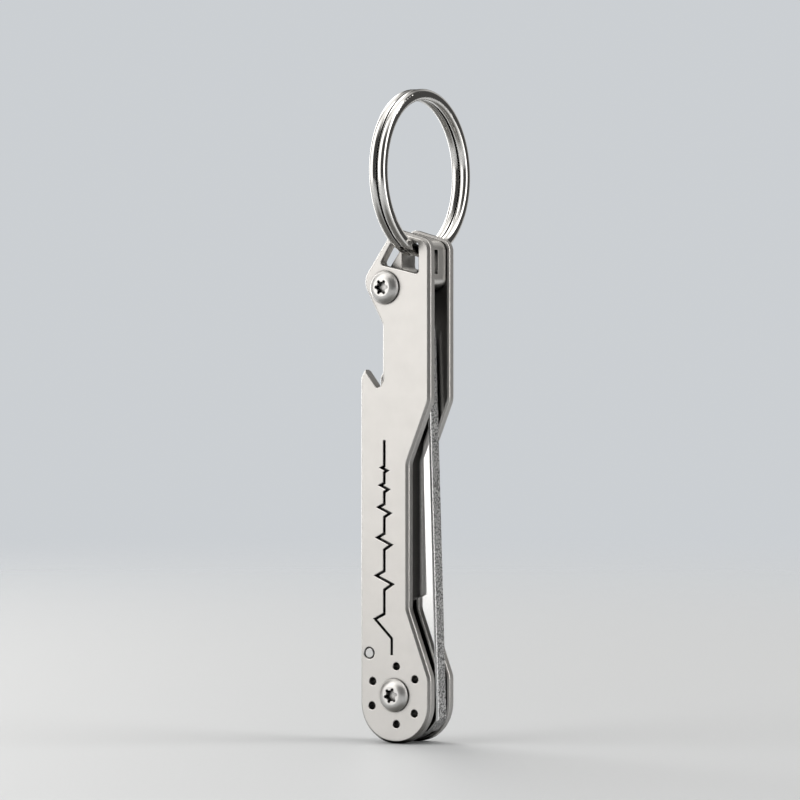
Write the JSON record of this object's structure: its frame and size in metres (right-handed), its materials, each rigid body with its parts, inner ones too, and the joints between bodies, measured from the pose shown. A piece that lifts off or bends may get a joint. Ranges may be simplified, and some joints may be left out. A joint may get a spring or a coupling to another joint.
{
  "type": "keychain bottle opener",
  "caption": "Small folding key-ring knife with a cap-lifting hook cut into the side of its handle and a split ring at the end.",
  "frame": {"origin": "on the floor of the object's bounding box, at its centre: the lowest point of the butt end, under the pivot", "axes": "+Z along the handle towards the ring, +X across the handle from the hook side to the side the blade opens from, +Y from the front scale to the back scale"},
  "size_m": [0.0123, 0.025, 0.0972],
  "materials": {
    "scale_metal": "bead-blasted satin",
    "blade_steel": "polished flats, fine ground bevel",
    "screw_steel": "polished",
    "ring_steel": "nickel plated, polished",
    "spacer_metal": "satin",
    "bearing_steel": "ground",
    "cage_brass": "plain"
  },
  "bodies": {
    "handle": {"front_scale": "scale_metal", "back_scale": "scale_metal", "pivot_sleeve": "bearing_steel", "pivot_screw_front": "screw_steel", "pivot_screw_back": "screw_steel", "front_bearing_race": "bearing_steel", "back_bearing_race": "bearing_steel", "stop_pin": "bearing_steel", "spacer": "spacer_metal", "spacer_sleeve": "bearing_steel", "spacer_screw_front": "screw_steel", "spacer_screw_back": "screw_steel"},
    "blade_body": {"blade": "blade_steel"},
    "lock": {"lock_bar": "scale_metal", "detent_ball": "bearing_steel"},
    "front_bearing": {"front_bearing_cage": "cage_brass", "front_bearing_balls": "bearing_steel"},
    "back_bearing": {"back_bearing_cage": "cage_brass", "back_bearing_balls": "bearing_steel"},
    "ring": {"split_ring": "ring_steel"}
  },
  "joints": [
    {"name": "blade_pivot", "type": "hinge", "parent": "handle", "child": "blade_body", "pos_m": [0, 0, 0.0072], "axis": [0, 1, 0], "range_deg": [0, 180]},
    {"name": "lock_bar_flex", "type": "hinge", "parent": "handle", "child": "lock", "pos_m": [0.001, 0.0023, 0.0433], "axis": [1, 0, 0], "range_deg": [0, 1.5]},
    {"name": "front_bearing_spin", "type": "hinge", "parent": "handle", "child": "front_bearing", "pos_m": [0, 0, 0.0072], "axis": [0, 1, 0], "range_deg": [0, 90]},
    {"name": "back_bearing_spin", "type": "hinge", "parent": "handle", "child": "back_bearing", "pos_m": [0, 0, 0.0072], "axis": [0, 1, 0], "range_deg": [0, 90]},
    {"name": "ring_swing", "type": "hinge", "parent": "handle", "child": "ring", "pos_m": [0.0023, 0, 0.07295], "axis": [0, 1, 0], "range_deg": [-80, 80]}
  ],
  "couplings": [
    {"joint": "front_bearing_spin", "follows": "blade_pivot", "ratio": 0.5},
    {"joint": "back_bearing_spin", "follows": "blade_pivot", "ratio": 0.5}
  ]
}
